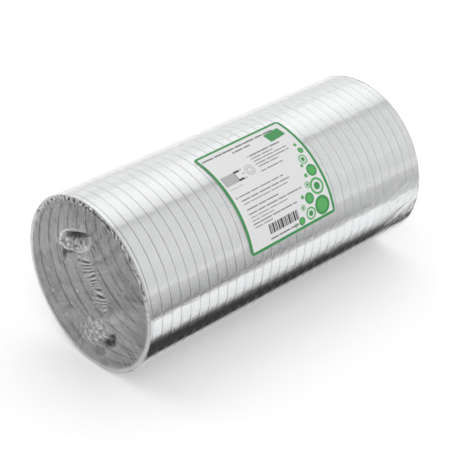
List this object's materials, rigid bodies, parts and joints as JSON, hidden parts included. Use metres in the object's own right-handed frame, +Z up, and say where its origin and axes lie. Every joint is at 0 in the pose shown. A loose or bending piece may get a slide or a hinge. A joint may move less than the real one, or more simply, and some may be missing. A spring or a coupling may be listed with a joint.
{
  "type": "flexible air duct",
  "caption": "Semi-rigid aluminium ventilation duct, folded short like a bellows, in clear shrink film with a square paper label; it draws out, bends and its end films peel open.",
  "frame": {"origin": "on the ground under the middle of the duct", "axes": "+X along the duct's axis to its far end, +Z up, -Y the side that carries the label"},
  "size_m": [0.3292, 0.157, 0.1565],
  "materials": {
    "foil": "satin rolled strip",
    "film": "clear glossy shrink film",
    "paper": "smooth paper"
  },
  "bodies": {
    "turns_01": {"duct_turns_01": "foil"},
    "turns_02": {"duct_turns_02": "foil"},
    "turns_03": {"duct_turns_03": "foil"},
    "turns_04": {"duct_turns_04": "foil"},
    "turns_05": {"duct_turns_05": "foil"},
    "turns_06": {"duct_turns_06": "foil"},
    "turns_07": {"duct_turns_07": "foil"},
    "turns_08": {"duct_turns_08": "foil", "film_sleeve": "film", "paper_label": "paper"},
    "turns_09": {"duct_turns_09": "foil"},
    "turns_10": {"duct_turns_10": "foil"},
    "turns_11": {"duct_turns_11": "foil"},
    "turns_12": {"duct_turns_12": "foil"},
    "turns_13": {"duct_turns_13": "foil"},
    "turns_14": {"duct_turns_14": "foil"},
    "turns_15": {"duct_turns_15": "foil"},
    "turns_16": {"duct_turns_16": "foil"},
    "near_film_end": {"near_film_end": "film"},
    "far_film_end": {"far_film_end": "film"}
  },
  "joints": [
    {"name": "extend", "type": "slide", "parent": "turns_08", "child": "turns_09", "axis": [1, 0, 0], "range_m": [0, 0.1026], "deforming": ["film_sleeve"]},
    {"name": "extend_09", "type": "slide", "parent": "turns_09", "child": "turns_10", "axis": [1, 0, 0], "range_m": [0, 0.1026]},
    {"name": "extend_10", "type": "slide", "parent": "turns_10", "child": "turns_11", "axis": [1, 0, 0], "range_m": [0, 0.12825]},
    {"name": "bend", "type": "hinge", "parent": "turns_11", "child": "turns_12", "pos_m": [0.06, 0.078, 0.078], "axis": [0, 0, 1], "range_deg": [0, 30], "deforming": ["film_sleeve"]},
    {"name": "extend_12", "type": "slide", "parent": "turns_12", "child": "turns_13", "axis": [1, 0, 0], "range_m": [0, 0.1539]},
    {"name": "bend_13", "type": "hinge", "parent": "turns_13", "child": "turns_14", "pos_m": [0.1, 0.078, 0.078], "axis": [0, 0, 1], "range_deg": [0, 30]},
    {"name": "extend_14", "type": "slide", "parent": "turns_14", "child": "turns_15", "axis": [1, 0, 0], "range_m": [0, 0.1539]},
    {"name": "bend_15", "type": "hinge", "parent": "turns_15", "child": "turns_16", "pos_m": [0.14, 0.078, 0.078], "axis": [0, 0, 1], "range_deg": [0, 30]},
    {"name": "extend_07", "type": "slide", "parent": "turns_08", "child": "turns_07", "axis": [-1, 0, 0], "range_m": [0, 0.1026]},
    {"name": "extend_06", "type": "slide", "parent": "turns_07", "child": "turns_06", "axis": [-1, 0, 0], "range_m": [0, 0.12825]},
    {"name": "bend_05", "type": "hinge", "parent": "turns_06", "child": "turns_05", "pos_m": [-0.06, 0.078, 0.078], "axis": [0, 0, -1], "range_deg": [0, 30]},
    {"name": "extend_04", "type": "slide", "parent": "turns_05", "child": "turns_04", "axis": [-1, 0, 0], "range_m": [0, 0.1539]},
    {"name": "bend_03", "type": "hinge", "parent": "turns_04", "child": "turns_03", "pos_m": [-0.1, 0.078, 0.078], "axis": [0, 0, -1], "range_deg": [0, 30]},
    {"name": "extend_02", "type": "slide", "parent": "turns_03", "child": "turns_02", "axis": [-1, 0, 0], "range_m": [0, 0.1539]},
    {"name": "bend_01", "type": "hinge", "parent": "turns_02", "child": "turns_01", "pos_m": [-0.14, 0.078, 0.078], "axis": [0, 0, -1], "range_deg": [0, 30]},
    {"name": "near_film_peel", "type": "hinge", "parent": "turns_01", "child": "near_film_end", "pos_m": [-0.16, 0, 0.1565], "axis": [0, 1, 0], "range_deg": [0, 170]},
    {"name": "far_film_peel", "type": "hinge", "parent": "turns_16", "child": "far_film_end", "pos_m": [0.16, 0, 0.1565], "axis": [0, -1, 0], "range_deg": [0, 170]}
  ],
  "couplings": [
    {"joint": "extend_09", "follows": "extend", "ratio": 1},
    {"joint": "extend_10", "follows": "extend", "ratio": 1.25},
    {"joint": "extend_12", "follows": "extend", "ratio": 1.5},
    {"joint": "bend_13", "follows": "bend", "ratio": 1},
    {"joint": "extend_14", "follows": "extend", "ratio": 1.5},
    {"joint": "bend_15", "follows": "bend", "ratio": 1},
    {"joint": "extend_07", "follows": "extend", "ratio": 1},
    {"joint": "extend_06", "follows": "extend", "ratio": 1.25},
    {"joint": "bend_05", "follows": "bend", "ratio": 1},
    {"joint": "extend_04", "follows": "extend", "ratio": 1.5},
    {"joint": "bend_03", "follows": "bend", "ratio": 1},
    {"joint": "extend_02", "follows": "extend", "ratio": 1.5},
    {"joint": "bend_01", "follows": "bend", "ratio": 1}
  ]
}
